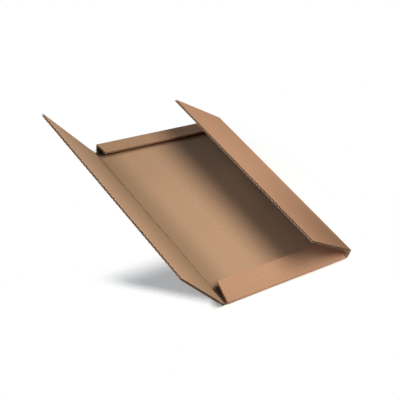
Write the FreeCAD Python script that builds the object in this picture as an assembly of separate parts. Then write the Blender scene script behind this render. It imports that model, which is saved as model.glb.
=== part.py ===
import FreeCAD, Part

import math
import os

# A shallow mailer folded from one sheet of corrugated board, in millimetres.
# X runs across the base from the left side panel to the right one, Y from the near end to the far
# end and Z upwards. The origin is the middle of the underside of the base.

# Board
BOARD = 2.7            # thickness of the whole sheet
LINER = 0.35           # thickness of each facing
MEDIUM = 0.3           # thickness of the fluted paper between the facings
FLUTE_PITCH = 6.35     # from crest to crest; the flutes run along X through the whole sheet
FLUTE_GAP = 0.2        # where a channel gets lower than this, next to a crest, the glue line fills it
FLUTE_STEPS = 6        # straight pieces in one period of the fluted paper

# Panels, measured inside the box
BASE_WIDTH = 219.0     # between the inner faces of the side walls when they stand up
BASE_LENGTH = 283.0    # between the inner faces of the end walls when they stand up
END_DEPTH = 9.0        # height of the end walls
END_FLAP = 18.0        # how far the end flaps reach over the base
SIDE_FLAP = 116.0      # how far the side flaps reach over the base; closed, one overlaps the other

# Clearances
END_INSET = 2.2        # from the inner face of a side wall to the end panels
END_TAPER = 1.0        # how much an end flap narrows at each end of its free edge
CLOSING_ROOM = 0.3     # between a closed side flap and the end flaps under it
CREASE_ROOM = 0.15     # between a crease and the panel that turns on it

# Score lines
CRUSHED = 3.0          # from a score line to where the flutes are open again
GROOVE_SIDE = 47.0     # half the opening of the groove pressed along a score line, in degrees

# How far each fold is made, in degrees: 0 is flat and 90 is square
LEFT_WALL_FOLD = 38.2
LEFT_FLAP_FOLD = 2.0
RIGHT_WALL_FOLD = 93.0
RIGHT_FLAP_FOLD = 60.4
NEAR_WALL_FOLD = 158.0
NEAR_FLAP_FOLD = 5.0
FAR_WALL_FOLD = 62.0
FAR_FLAP_FOLD = 115.0

ORIGIN = FreeCAD.Vector(0, 0, 0)
X = FreeCAD.Vector(1, 0, 0)
Y = FreeCAD.Vector(0, 1, 0)
Z = FreeCAD.Vector(0, 0, 1)

HALF_BOARD = BOARD / 2
CREASE_X = BASE_WIDTH / 2 + HALF_BOARD
BASE_PLATE_LENGTH = BASE_LENGTH + BOARD
# the side panels reach past the end creases, to cover the cut ends of the end walls
SIDE_LENGTH = BASE_LENGTH + 2 * BOARD
END_WIDTH = BASE_WIDTH - 2 * END_INSET
# inner height under a closed side flap, and the distance between the wall's two score lines
SIDE_DEPTH = END_DEPTH + BOARD + CLOSING_ROOM
SIDE_PITCH = SIDE_DEPTH + BOARD
# the crushed board in a score line, round enough to meet the outer bend of a square fold
CREASE_RADIUS = BOARD * (math.sqrt(3) - 1) / 2

# Fluted paper: a wave half as high as the space between the facings, less its own thickness
FLUTE_SPACE = HALF_BOARD - LINER
WAVE = FLUTE_SPACE - MEDIUM / 2


def cosine(degrees):
    return math.cos(math.radians(degrees))


def sine(degrees):
    return math.sin(math.radians(degrees))


def line(start, end):
    return Part.LineSegment(start, end).toShape()


def arc(start, middle, end):
    return Part.Arc(start, middle, end).toShape()


def face_of(edges):
    return Part.Face(Part.Wire(Part.__sortEdges__(edges)))


def extruded_both_ways(face, direction, length):
    """A face extruded to the same distance on both sides of its own plane."""
    start = face.copy()
    start.translate(direction * (-length / 2))
    return start.extrude(direction * length)


def channel_outline(centre, side):
    """Section of one flute channel as pairs: along the sheet, and up from the sheet's middle.

    side is 1 for a channel under the inner facing and -1 for one under the outer facing."""
    def wave_top(phase):
        return WAVE * cosine(phase) + MEDIUM / 2

    closing_phase = math.degrees(math.acos((FLUTE_SPACE - FLUTE_GAP - MEDIUM / 2) / WAVE))
    corner = (0.5 - closing_phase / 360) * FLUTE_PITCH
    outline = [(centre - corner, side * FLUTE_SPACE)]
    for step in range(1, FLUTE_STEPS):
        phase = 360 * step / FLUTE_STEPS
        along = centre + (phase / 360 - 0.5) * FLUTE_PITCH
        outline.append((along, side * wave_top(phase)))
    outline.append((centre + corner, side * FLUTE_SPACE))
    return outline


def side_channels(start, end, only_at_cut_ends):
    """Flute channels of a side panel drawn flat, running along X from start to end."""
    periods = math.ceil(SIDE_LENGTH / FLUTE_PITCH)
    channels = []
    for step in range(-periods, periods + 1):
        centre = step * FLUTE_PITCH / 2
        reach = abs(centre) + FLUTE_PITCH / 2
        if reach < SIDE_LENGTH / 2 and only_at_cut_ends:
            continue
        side = 1 if step % 2 == 0 else -1
        outline = [FreeCAD.Vector(start, y, z) for y, z in channel_outline(centre, side)]
        if min(abs(point.y) for point in outline) > SIDE_LENGTH / 2:
            continue
        face = Part.Face(Part.makePolygon(outline + outline[:1]))
        channels.append(face.extrude(X * (end - start)))
    return channels


def plain_edge(s):
    """A cut edge of a side panel at s along X: its inner point, outer point and edges."""
    inner = FreeCAD.Vector(s, 0, HALF_BOARD)
    outer = FreeCAD.Vector(s, 0, -HALF_BOARD)
    return inner, outer, [line(inner, outer)]


def scored_edge(s, inwards):
    """The edge of a panel on a score line at s; inwards is 1 or -1, the way to its own board.

    Half of the pressed groove is on the inside. The outside is half of a square fold's bend, an arc
    about the point where the inner faces of the two panels meet."""
    groove_reach = HALF_BOARD * math.tan(math.radians(GROOVE_SIDE))
    groove = FreeCAD.Vector(s + inwards * groove_reach, 0, HALF_BOARD)
    axis = FreeCAD.Vector(s, 0, 0)

    def bend_point(degrees):
        return FreeCAD.Vector(s + inwards * (HALF_BOARD - BOARD * sine(degrees)), 0,
                              HALF_BOARD - BOARD * cosine(degrees))

    bend = arc(bend_point(45), bend_point(45 / 2), bend_point(0))
    return groove, bend_point(0), [line(groove, axis), line(axis, bend_point(45)), bend]


def panel(first, last, length):
    """A flat panel between two edges of its section, drawn in the XZ plane."""
    first_inner, first_outer, first_edges = first
    last_inner, last_outer, last_edges = last
    across = [line(first_inner, last_inner), line(first_outer, last_outer)]
    return extruded_both_ways(face_of(first_edges + last_edges + across), Y, length)


def score_line(s, radius, length):
    """A round bar on a score line at s: the crushed board itself, or the room for it."""
    return Part.makeCylinder(radius, length, FreeCAD.Vector(s, -length / 2, 0), Y)


def cleared(shape, length):
    """The panel without the room it needs round the score line at s = 0 on which it turns."""
    return shape.cut(score_line(0, CREASE_RADIUS + CREASE_ROOM, length + BOARD))


def base_plate():
    """The base between the two side score lines, both of which belong to it."""
    plate = panel(scored_edge(-CREASE_X, 1), scored_edge(CREASE_X, -1), BASE_PLATE_LENGTH)
    for side in (-1, 1):
        plate = plate.fuse(score_line(side * CREASE_X, CREASE_RADIUS, BASE_PLATE_LENGTH))
    plate.translate(Z * HALF_BOARD)
    return plate


def side_wall():
    """A side wall drawn flat, from its score line on the base to the one that its flap turns on."""
    wall = panel(scored_edge(CREASE_ROOM, 1), scored_edge(SIDE_PITCH, -1), SIDE_LENGTH)
    wall = cleared(wall, SIDE_LENGTH).fuse(score_line(SIDE_PITCH, CREASE_RADIUS, SIDE_LENGTH))
    channels = side_channels(CRUSHED, SIDE_PITCH - CRUSHED, True)
    return wall.removeSplitter().cut(Part.makeCompound(channels))


def side_flap():
    """A side flap drawn flat, from the wall's score line to its free edge."""
    free_edge = HALF_BOARD + SIDE_FLAP
    flap = panel(scored_edge(CREASE_ROOM, 1), plain_edge(free_edge), SIDE_LENGTH)
    channels = side_channels(CRUSHED, free_edge + BOARD, False)
    return cleared(flap, SIDE_LENGTH).cut(Part.makeCompound(channels))


def folded(shape, fold):
    """A side panel turned up by its fold about the score line at s = 0."""
    turned = shape.copy()
    turned.rotate(ORIGIN, Y, -fold)
    return turned


def right_pair(wall_fold, flap_fold):
    """The wall and flap of the right side, folded and in place on the base."""
    crease = FreeCAD.Vector(CREASE_X, 0, HALF_BOARD)
    wall = folded(side_wall(), wall_fold)
    wall.translate(crease)
    flap = folded(side_flap(), wall_fold + flap_fold)
    flap.translate(crease + X * (SIDE_PITCH * cosine(wall_fold)) + Z * (SIDE_PITCH * sine(wall_fold)))
    return wall, flap


def left_pair(wall_fold, flap_fold):
    """The same on the left side: a half turn of the right one, which is symmetrical along Y."""
    pair = right_pair(wall_fold, flap_fold)
    for shape in pair:
        shape.rotate(ORIGIN, Z, 180)
    return pair


class EndPanels:
    """Section of one end in the YZ plane: wall and flap, folded from the end of the base.

    end is 1 for the far end and -1 for the near end."""

    def __init__(self, end, wall_fold, flap_fold):
        folds = [0, wall_fold, wall_fold + flap_fold]
        # inner face of the base, the wall and the flap: the way it runs, and the way it looks
        along = [FreeCAD.Vector(0, end * cosine(fold), sine(fold)) for fold in folds]
        inwards = [FreeCAD.Vector(0, -end * sine(fold), cosine(fold)) for fold in folds]
        self.base_corner = FreeCAD.Vector(0, end * BASE_LENGTH / 2, BOARD)
        self.flap_corner = self.base_corner + along[1] * END_DEPTH
        self.tip = self.flap_corner + along[2] * END_FLAP
        self.under_base = self.base_corner - inwards[0] * BOARD
        self.along = along
        self.inwards = inwards

    def bend(self, corner, before, after):
        """The outer side of a bend, one board away from the inner corner."""
        middle = self.inwards[before] + self.inwards[after]
        middle.normalize()
        start = corner - self.inwards[before] * BOARD
        end = corner - self.inwards[after] * BOARD
        return start, end, arc(start, corner - middle * BOARD, end)

    def edges(self):
        """Inner face, free edge and outer face, from the base's inner corner to its underside."""
        first_start, first_end, first_bend = self.bend(self.base_corner, 0, 1)
        second_start, second_end, second_bend = self.bend(self.flap_corner, 1, 2)
        outer_tip = self.tip - self.inwards[2] * BOARD
        return [line(self.base_corner, self.flap_corner), line(self.flap_corner, self.tip),
                line(self.tip, outer_tip), line(outer_tip, second_end), second_bend,
                line(second_start, first_end), first_bend]

    def channels(self):
        """Flute channels of the wall and of the flap, which are open at their cut ends."""
        def channel(corner, run, centre, side):
            outline = [corner + self.along[run] * u + self.inwards[run] * (n - HALF_BOARD)
                       for u, n in channel_outline(centre, side)]
            face = Part.Face(Part.makePolygon(outline + outline[:1]))
            return extruded_both_ways(face, X, END_WIDTH + BOARD)

        # the shallow wall has room for one channel, and the flap for a row that its free edge cuts open
        shapes = [channel(self.base_corner, 1, END_DEPTH / 2, 1)]
        first = CRUSHED - HALF_BOARD + FLUTE_PITCH / 2
        count = math.ceil(2 * (END_FLAP - first) / FLUTE_PITCH) + 1
        for step in range(count):
            side = 1 if step % 2 == 0 else -1
            shapes.append(channel(self.flap_corner, 2, first + step * FLUTE_PITCH / 2, side))
        return shapes

    def taper(self, side):
        """The sliver that narrows the flap towards its free edge; side is 1 or -1 along X."""
        # from halfway up the wall to above the flap, and to twice as far out as its free edge
        bottom = (self.base_corner.z + self.flap_corner.z) / 2
        top = self.tip.z + 2 * BOARD
        root = FreeCAD.Vector(side * END_WIDTH / 2, self.flap_corner.y, bottom)
        end = root + Y * (self.tip.y - self.flap_corner.y) * 2
        narrowing = X * (-side * END_TAPER) * 2
        sliver = Part.makePolygon([root, end, end + narrowing, root])
        return Part.Face(sliver).extrude(Z * (top - bottom))


def folded_tray():
    """Base, end walls and end flaps: one piece of board with its bends."""
    near = EndPanels(-1, NEAR_WALL_FOLD, NEAR_FLAP_FOLD)
    far = EndPanels(1, FAR_WALL_FOLD, FAR_FLAP_FOLD)
    across = [line(near.base_corner, far.base_corner), line(near.under_base, far.under_base)]
    ends = extruded_both_ways(face_of(near.edges() + far.edges() + across), X, END_WIDTH)
    slivers = [end.taper(side) for end in (near, far) for side in (-1, 1)]
    ends = ends.cut(Part.makeCompound(slivers))
    ends = ends.cut(Part.makeCompound(near.channels() + far.channels()))
    return ends.fuse(base_plate()).removeSplitter()


def main():
    left_wall, left_flap = left_pair(LEFT_WALL_FOLD, LEFT_FLAP_FOLD)
    right_wall, right_flap = right_pair(RIGHT_WALL_FOLD, RIGHT_FLAP_FOLD)
    nodes = {"folded_tray": folded_tray(), "left_wall": left_wall, "left_flap": left_flap,
             "right_wall": right_wall, "right_flap": right_flap}
    os.makedirs("parts", exist_ok=True)
    for name, shape in nodes.items():
        shape.Solids[0].exportStep("parts/" + name + ".step")
        print(name, len(shape.Solids), shape.isValid(), round(shape.Volume))


main()
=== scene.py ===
import math

import bpy
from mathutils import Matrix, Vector

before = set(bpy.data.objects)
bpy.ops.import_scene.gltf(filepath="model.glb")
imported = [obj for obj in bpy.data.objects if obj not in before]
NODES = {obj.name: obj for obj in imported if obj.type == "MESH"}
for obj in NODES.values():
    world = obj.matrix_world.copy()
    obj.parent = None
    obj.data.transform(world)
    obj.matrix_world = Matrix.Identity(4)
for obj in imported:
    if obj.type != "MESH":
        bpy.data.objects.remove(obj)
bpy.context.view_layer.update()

# Colours of the board and of the shade painted on it, as linear values
INNER_DARK = (0.5, 0.3, 0.178, 1)
INNER_PALE = (0.535, 0.325, 0.196, 1)
OUTER_DARK = (0.545, 0.29, 0.166, 1)
OUTER_PALE = (0.575, 0.312, 0.182, 1)
FIBRE = (0.57, 0.36, 0.23, 1)
SPECK = (0.22, 0.12, 0.07, 1)
# painted shade beside the left crease and on the far end flap; it also draws the faint flute lines
OLIVE_FLUTE_AND_PAINTED_SHADE = (0.22, 0.15, 0.08, 1)
# painted shade near the right flap's near right corner
WARM_PAINTED_SHADE = (0.175, 0.092, 0.05, 1)
# painted near-black shade on the base under the end flaps
PAINTED_SHADE_UNDER_END_FLAPS = (0.09, 0.045, 0.025, 1)
EDGE = (0.56, 0.365, 0.24, 1)

# Paper: scale and detail of each noise, where it starts and ends, and how much of it shows
CLOUD_NOISE = (16, 3)
FIBRE_NOISE = (420, 4)
FIBRE_STRETCH = (0.35, 1, 1)
FIBRE_RANGE = (0.35, 0.7)
FIBRE_SHARE = 0.35
SPECK_NOISE = (900, 2)
SPECK_RANGE = (0.68, 0.76)
SPECK_SHARE = 0.16
FLUTE_PITCH = 0.00635
FLUTE_SHARE = 0.009

# Which side a panel is on, -1 for left and 1 for right, and its degrees up from the base at rest
SIDE_FOLDS = {
    "left_wall": (-1, 38.2),
    "left_flap": (-1, 40.2),
    "right_wall": (1, 93.0),
    "right_flap": (1, 153.4),
}

# What tells the two facings of the board apart: height and direction on the tray, where END_WALL_SHARE is
# the weight of the end walls' own direction, and direction alone on a side panel
BASE_TOP = 0.00285
END_WALL_SHARE = 0.1
TRAY_SIDE_RANGE = (-0.00004, 0.00004)
PANEL_SIDE_RANGE = (-0.1, 0.1)

# Painted soft shade beside a crease or a corner: where it starts, along which axes it fades, and how far
CREASE_X = 0.1095
PAINTED_SHADE_START = 0.003
PAINTED_FOLD_SHADES = {
    "folded_tray": {"start": (-CREASE_X, 0, 0), "axes": (1, 0, 0), "reach": 0.042,
                    "share": 0.5, "colour": OLIVE_FLUTE_AND_PAINTED_SHADE, "facing": "inner"},
    "left_wall": {"start": (-CREASE_X, 0, 0), "axes": (1, 0, 0), "reach": 0.14,
                  "share": 0.55, "colour": OLIVE_FLUTE_AND_PAINTED_SHADE, "facing": "both"},
    "left_flap": {"start": (-CREASE_X, 0, 0), "axes": (1, 0, 0), "reach": 0.14,
                  "share": 0.55, "colour": OLIVE_FLUTE_AND_PAINTED_SHADE, "facing": "both"},
    # painted shade on the right flap's outer facing, darkest at its near right corner
    "right_flap": {"start": (0.112, -0.15, 0), "axes": (1, 1, 0), "reach": 0.2,
                   "share": 0.78, "colour": WARM_PAINTED_SHADE, "facing": "outer"},
}

# The tray's left crease line, the shade painted on its far end flap and the shade painted on the base under
# its end flaps, as places in metres
CREASE_LINE_HALF = (0.0008, 0.0022)
CREASE_LINE_NOISE = (110, 2)
CREASE_LINE_BREAKS = (0.3, 0.6)
CREASE_LINE_SHARE = 0.42
FAR_FLAP_Y = (0.11, 0.125)
FAR_FLAP_RIGHT_END = (-0.01, 0.06)
FAR_FLAP_PAINTED_SHADE_SHARE = 0.36
UNDER_FAR_FLAP_SHADE_Y = (0.131, 0.139)
UNDER_NEAR_FLAP_SHADE_Y = (0.114, 0.121)

# Cut edges, bump and gloss
CUT_RANGE = (0.2, 0.5)
TRAY_CUT_SCALE = 3.0
FIBRE_BUMP = 0.35
FLUTE_BUMP = 0.25
BUMP_STRENGTH = 0.07
BUMP_DEPTH = 0.0004
SMOOTHEST = 0.8
FIBRE_ROUGHNESS = 0.15
BOARD_SPECULAR = 0.12

# Floor: its colour and glow, and where it fades from solid to clear. The shadow's near edge is a line
# through SHADOW_CORNER, square to SHADOW_OUTWARD.
FLOOR_SIZE = 2.4
FLOOR_DROP = 0.0002
FLOOR_DARK = (0.97, 0.955, 0.935, 1)
FLOOR_PALE = (0.98, 0.965, 0.945, 1)
FLOOR_NOISE = (60, 3)
FLOOR_ROUGHNESS = 0.9
FLOOR_GLOW = 0.13
SHADOW_FAR_EDGE = (-0.078, -0.04)
SHADOW_CORNER = (-0.11, -0.138)
SHADOW_OUTWARD = (-0.59, -0.807)
SHADOW_NEAR_EDGE = (-0.008, 0.012)
BENEATH_LEFT = (-0.132, -0.116)
BENEATH_FAR = (0.14, 0.155)
BENEATH_NEAR = (-0.15, -0.143)
FLOOR_CENTRE = (-0.08, -0.03, 0)
FLOOR_RIM = (0.2, 0.3)

# Lights: distance in metres, elevation and azimuth in degrees, size in metres, watts and tint
LIGHT_AIM = Vector((0, -0.06, 0))
LIGHTS = {
    "key": (1.0, 74, 15, 0.9, 10.2, (1, 0.96, 0.89)),
    "left_fill": (2.0, 35, -90, 1.0, 11.0, (0.5, 0.8, 1.0)),
    "low_left": (1.5, 8, -90, 0.4, 7.5, (1, 0.98, 0.95)),
    "low_back": (1.5, 6, 165, 0.3, 6.0, (1, 0.98, 0.95)),
}
ROOM_COLOUR = (0.7, 0.85, 1.25, 1)
ROOM_STRENGTH = 0.05
WHITE = (1, 1, 1, 1)

# Camera: place in metres, turn in degrees, lens and sensor in millimetres
CAMERA_PLACE = (-0.793578, -0.570001, 0.74386)
CAMERA_TURN = (50.32189, -17.90727, -38.37136)
CAMERA_LENS = 83.09
CAMERA_SENSOR = 36
CAMERA_CLIP = (0.05, 20)


class Nodes:
    """Short ways to add and join the shader nodes of one material or world."""

    def __init__(self, owner):
        owner.use_nodes = True
        self.tree = owner.node_tree
        self.tree.nodes.clear()

    def add(self, kind, **settings):
        node = self.tree.nodes.new(kind)
        for key, value in settings.items():
            setattr(node, key, value)
        return node

    def put(self, value, socket):
        if isinstance(value, bpy.types.NodeSocket):
            self.tree.links.new(value, socket)
        else:
            socket.default_value = value

    def calculate(self, operation, a, b=0.0):
        node = self.add("ShaderNodeMath", operation=operation)
        self.put(a, node.inputs[0])
        self.put(b, node.inputs[1])
        return node.outputs[0]

    def plus(self, a, b):
        return self.calculate("ADD", a, b)

    def times(self, a, b):
        return self.calculate("MULTIPLY", a, b)

    def absolute(self, a):
        return self.calculate("ABSOLUTE", a)

    def larger(self, a, b):
        return self.calculate("MAXIMUM", a, b)

    def complement(self, a):
        """What is missing from a to 1."""
        return self.calculate("SUBTRACT", 1.0, a)

    def step(self, value, low, high):
        """0 below low, 1 above high and smooth in between."""
        node = self.add("ShaderNodeMapRange", interpolation_type="SMOOTHSTEP")
        self.put(value, node.inputs["Value"])
        self.put(low, node.inputs["From Min"])
        self.put(high, node.inputs["From Max"])
        return node.outputs["Result"]

    def vector(self, operation, a, b, result):
        node = self.add("ShaderNodeVectorMath", operation=operation)
        self.put(a, node.inputs[0])
        self.put(b, node.inputs[1])
        return node.outputs[result]

    def split(self, vector):
        node = self.add("ShaderNodeSeparateXYZ")
        self.put(vector, node.inputs[0])
        return node.outputs[0], node.outputs[1], node.outputs[2]

    def place(self):
        return self.add("ShaderNodeTexCoord").outputs["Object"]

    def noise(self, place, scale, detail, stretch=(1, 1, 1)):
        mapping = self.add("ShaderNodeMapping")
        self.put(place, mapping.inputs["Vector"])
        self.put(stretch, mapping.inputs["Scale"])
        node = self.add("ShaderNodeTexNoise")
        self.put(mapping.outputs[0], node.inputs["Vector"])
        self.put(scale, node.inputs["Scale"])
        self.put(detail, node.inputs["Detail"])
        return node.outputs["Fac"]

    def mix(self, share, a, b):
        """Colour a with the given share of colour b."""
        node = self.add("ShaderNodeMix", data_type="RGBA")
        # of the sockets named A, B and Result, these are the ones for colours
        self.put(share, node.inputs["Factor"])
        self.put(a, node.inputs[6])
        self.put(b, node.inputs[7])
        return node.outputs[2]

    def choose(self, share, a, b):
        """Shader a with the given share of shader b."""
        node = self.add("ShaderNodeMixShader")
        self.put(share, node.inputs[0])
        self.put(a, node.inputs[1])
        self.put(b, node.inputs[2])
        return node.outputs[0]


def board_normal(n):
    """The way the surface faces, before the panel turns with its body."""
    geometry = n.add("ShaderNodeNewGeometry")
    turn = n.add("ShaderNodeVectorTransform", vector_type="NORMAL", convert_from="WORLD", convert_to="OBJECT")
    n.put(geometry.outputs["True Normal"], turn.inputs[0])
    return turn.outputs[0]


def outer_side_of_tray(n, place, normal):
    """1 on the facing that is outside when the box is shut, 0 on the inner one.

    The base looks up with its inner facing, and the end flaps lie over it with their outer one up."""
    _, y, z = n.split(place)
    _, across, up = n.split(normal)
    above = n.times(n.plus(z, -BASE_TOP), up)
    beyond = n.times(n.times(y, across), END_WALL_SHARE)
    return n.step(n.plus(above, beyond), *TRAY_SIDE_RANGE)


def outer_side_of_panel(n, normal, inward):
    """The same on a side panel, whose inner facing looks along inward."""
    return n.step(n.times(n.vector("DOT_PRODUCT", normal, inward, "Value"), -1.0), *PANEL_SIDE_RANGE)


def paper_colour(n, place, is_outer, fibres, flutes):
    """Unbleached paper with clouds, fibres and specks, a little redder on the outer facing."""
    clouds = n.noise(place, *CLOUD_NOISE)
    specks = n.noise(place, *SPECK_NOISE)
    inner = n.mix(clouds, INNER_DARK, INNER_PALE)
    outer = n.mix(clouds, OUTER_DARK, OUTER_PALE)
    colour = n.mix(is_outer, inner, outer)
    colour = n.mix(n.times(n.step(fibres, *FIBRE_RANGE), FIBRE_SHARE), colour, FIBRE)
    colour = n.mix(n.times(n.step(specks, *SPECK_RANGE), SPECK_SHARE), colour, SPECK)
    # the flutes show through as faint lines along X
    return n.mix(n.times(n.plus(flutes, 1.0), FLUTE_SHARE), colour, OLIVE_FLUTE_AND_PAINTED_SHADE)


def painted_fold_shade(n, place, is_outer, colour, shade):
    """The colour with a painted soft shade beside a crease or a corner."""
    offset = n.vector("MULTIPLY", place, shade["axes"], "Vector")
    gap = n.vector("DISTANCE", offset, shade["start"], "Value")
    beside = n.complement(n.step(gap, PAINTED_SHADE_START, shade["reach"]))
    if shade["facing"] == "inner":
        beside = n.times(beside, n.complement(is_outer))
    if shade["facing"] == "outer":
        beside = n.times(beside, is_outer)
    return n.mix(n.times(beside, shade["share"]), colour, shade["colour"])


def tray_line_and_painted_shades(n, place, is_outer, colour):
    """The colour with a thin broken dark line along the left crease, painted shade on the far end flap, and
    painted near-black shade on the base where the end flaps lie over it.
    """
    x, y, _ = n.split(place)
    # a thin dark line along the left crease on the inner facing, broken up by noise
    line = n.complement(n.step(n.absolute(n.plus(x, CREASE_X)), *CREASE_LINE_HALF))
    broken_line = n.times(line, n.step(n.noise(place, *CREASE_LINE_NOISE), *CREASE_LINE_BREAKS))
    broken_line = n.times(broken_line, n.complement(is_outer))
    colour = n.mix(n.times(broken_line, CREASE_LINE_SHARE), colour, SPECK)

    # painted shade on the far end flap's outer facing, fading out towards its right end
    far_flap_shade = n.times(n.step(y, *FAR_FLAP_Y), is_outer)
    far_flap_shade = n.times(far_flap_shade, n.complement(n.step(x, *FAR_FLAP_RIGHT_END)))
    colour = n.mix(n.times(far_flap_shade, FAR_FLAP_PAINTED_SHADE_SHARE), colour, OLIVE_FLUTE_AND_PAINTED_SHADE)

    # painted near-black shade on the base's inner facing under the end flaps
    under_end_flaps_shade = n.larger(n.step(y, *UNDER_FAR_FLAP_SHADE_Y), n.step(n.times(y, -1.0), *UNDER_NEAR_FLAP_SHADE_Y))
    return n.mix(n.times(under_end_flaps_shade, n.complement(is_outer)), colour, PAINTED_SHADE_UNDER_END_FLAPS)


def board(name, side=0, fold=0):
    """Plain brown corrugated board, with painted shade on some of its panels.

    side and fold say on which side a panel is, and how far it is turned up from the base at rest."""
    material = bpy.data.materials.new("board_" + name)
    n = Nodes(material)
    place = n.place()
    normal = board_normal(n)
    fibres = n.noise(place, *FIBRE_NOISE, FIBRE_STRETCH)
    flutes = n.calculate("COSINE", n.times(n.split(place)[1], 2 * math.pi / FLUTE_PITCH))

    # facing is near 0 on a cut end and high on the two facings
    if name == "folded_tray":
        is_outer = outer_side_of_tray(n, place, normal)
        facing = n.times(n.complement(n.absolute(n.split(normal)[0])), TRAY_CUT_SCALE)
    else:
        angle = math.radians(fold)
        inward = (-side * math.sin(angle), 0, math.cos(angle))
        is_outer = outer_side_of_panel(n, normal, inward)
        facing = n.absolute(n.vector("DOT_PRODUCT", normal, inward, "Value"))

    colour = paper_colour(n, place, is_outer, fibres, flutes)
    # painted shade beside a crease or a corner
    if name in PAINTED_FOLD_SHADES:
        colour = painted_fold_shade(n, place, is_outer, colour, PAINTED_FOLD_SHADES[name])
    if name == "folded_tray":
        colour = tray_line_and_painted_shades(n, place, is_outer, colour)
    colour = n.mix(n.complement(n.step(facing, *CUT_RANGE)), colour, EDGE)

    bump = n.add("ShaderNodeBump")
    n.put(BUMP_STRENGTH, bump.inputs["Strength"])
    n.put(BUMP_DEPTH, bump.inputs["Distance"])
    n.put(n.plus(n.times(fibres, FIBRE_BUMP), n.times(flutes, FLUTE_BUMP)), bump.inputs["Height"])

    shader = n.add("ShaderNodeBsdfPrincipled")
    n.put(colour, shader.inputs["Base Color"])
    n.put(n.plus(SMOOTHEST, n.times(fibres, FIBRE_ROUGHNESS)), shader.inputs["Roughness"])
    n.put(BOARD_SPECULAR, shader.inputs["Specular IOR Level"])
    n.put(bump.outputs[0], shader.inputs["Normal"])
    out = n.add("ShaderNodeOutputMaterial")
    n.put(shader.outputs[0], out.inputs["Surface"])
    return material


def floor_solid(n):
    """1 under the box and beside its near left corner, where the shadow lies, and 0 elsewhere."""
    place = n.place()
    x, y, _ = n.split(place)
    before = n.complement(n.step(y, *SHADOW_FAR_EDGE))
    outward = n.plus(n.times(n.plus(x, -SHADOW_CORNER[0]), SHADOW_OUTWARD[0]),
                     n.times(n.plus(y, -SHADOW_CORNER[1]), SHADOW_OUTWARD[1]))
    within = n.complement(n.step(outward, *SHADOW_NEAR_EDGE))
    beneath = n.times(n.step(x, *BENEATH_LEFT), n.complement(n.step(y, *BENEATH_FAR)))
    beneath = n.times(beneath, n.step(y, *BENEATH_NEAR))
    solid = n.larger(n.times(before, within), beneath)
    near = n.complement(n.step(n.vector("DISTANCE", place, FLOOR_CENTRE, "Value"), *FLOOR_RIM))
    return n.times(solid, near)


def floor_material():
    """Pale floor that shows the box's shadow and fades into the white behind it."""
    material = bpy.data.materials.new("floor")
    n = Nodes(material)
    shader = n.add("ShaderNodeBsdfPrincipled")
    n.put(n.mix(n.noise(n.place(), *FLOOR_NOISE), FLOOR_DARK, FLOOR_PALE), shader.inputs["Base Color"])
    n.put(FLOOR_ROUGHNESS, shader.inputs["Roughness"])
    n.put(0.0, shader.inputs["Specular IOR Level"])

    # what the camera sees of the floor is lifted, so that its lit part is white and its shadow light
    glow = n.add("ShaderNodeEmission")
    from_camera = n.add("ShaderNodeLightPath").outputs["Is Camera Ray"]
    n.put(n.times(from_camera, FLOOR_GLOW), glow.inputs["Strength"])
    lifted = n.add("ShaderNodeAddShader")
    n.put(shader.outputs[0], lifted.inputs[0])
    n.put(glow.outputs[0], lifted.inputs[1])

    clear = n.add("ShaderNodeBsdfTransparent")
    out = n.add("ShaderNodeOutputMaterial")
    n.put(n.choose(floor_solid(n), clear.outputs[0], lifted.outputs[0]), out.inputs["Surface"])
    return material


def paint(node, material):
    mesh = NODES[node].data
    mesh.materials.clear()
    mesh.materials.append(material)


def add_floor():
    bpy.ops.mesh.primitive_plane_add(size=FLOOR_SIZE, location=(0, 0, -FLOOR_DROP))
    floor = bpy.context.object
    floor.name = "floor"
    floor.data.materials.append(floor_material())


def from_angles(distance, elevation, azimuth):
    """A place seen from the lights' aim. Azimuth 0 is the near side and 90 the right."""
    up = math.radians(elevation)
    around = math.radians(azimuth)
    level = Vector((math.sin(around), -math.cos(around), 0)) * math.cos(up)
    return LIGHT_AIM + distance * (level + Vector((0, 0, math.sin(up))))


def area_light(name, place, size, watts, tint):
    data = bpy.data.lights.new(name, "AREA")
    data.shape = "DISK"
    data.size = size
    data.energy = watts
    data.color = tint
    light = bpy.data.objects.new(name, data)
    light.location = place
    light.rotation_mode = "QUATERNION"
    light.rotation_quaternion = (LIGHT_AIM - place).to_track_quat("-Z", "Y")
    light.visible_camera = False
    bpy.context.scene.collection.objects.link(light)


def background(n, colour, strength):
    node = n.add("ShaderNodeBackground")
    n.put(colour, node.inputs["Color"])
    n.put(strength, node.inputs["Strength"])
    return node.outputs[0]


def add_world():
    """White for the camera, for reflections and through glass, and a dim room for the light."""
    world = bpy.data.worlds.new("room")
    bpy.context.scene.world = world
    n = Nodes(world)
    path = n.add("ShaderNodeLightPath")
    mirrored = n.larger(path.outputs["Is Glossy Ray"], path.outputs["Is Transmission Ray"])
    seen = n.larger(path.outputs["Is Camera Ray"], mirrored)
    room = background(n, ROOM_COLOUR, ROOM_STRENGTH)
    white = background(n, WHITE, 1.0)
    out = n.add("ShaderNodeOutputWorld")
    n.put(n.choose(seen, room, white), out.inputs["Surface"])


def add_camera():
    """The camera of the photo, rolled so that the base's long sides run up to the left."""
    data = bpy.data.cameras.new("camera")
    data.sensor_width = CAMERA_SENSOR
    data.lens = CAMERA_LENS
    data.clip_start, data.clip_end = CAMERA_CLIP
    camera = bpy.data.objects.new("camera", data)
    camera.location = CAMERA_PLACE
    camera.rotation_euler = tuple(math.radians(degrees) for degrees in CAMERA_TURN)
    bpy.context.scene.collection.objects.link(camera)
    bpy.context.scene.camera = camera


paint("folded_tray", board("folded_tray"))
for name, (side, fold) in SIDE_FOLDS.items():
    paint(name, board(name, side, fold))
add_floor()
for name, (distance, elevation, azimuth, size, watts, tint) in LIGHTS.items():
    area_light(name, from_angles(distance, elevation, azimuth), size, watts, tint)
add_world()
add_camera()
bpy.context.scene.view_settings.view_transform = "Standard"
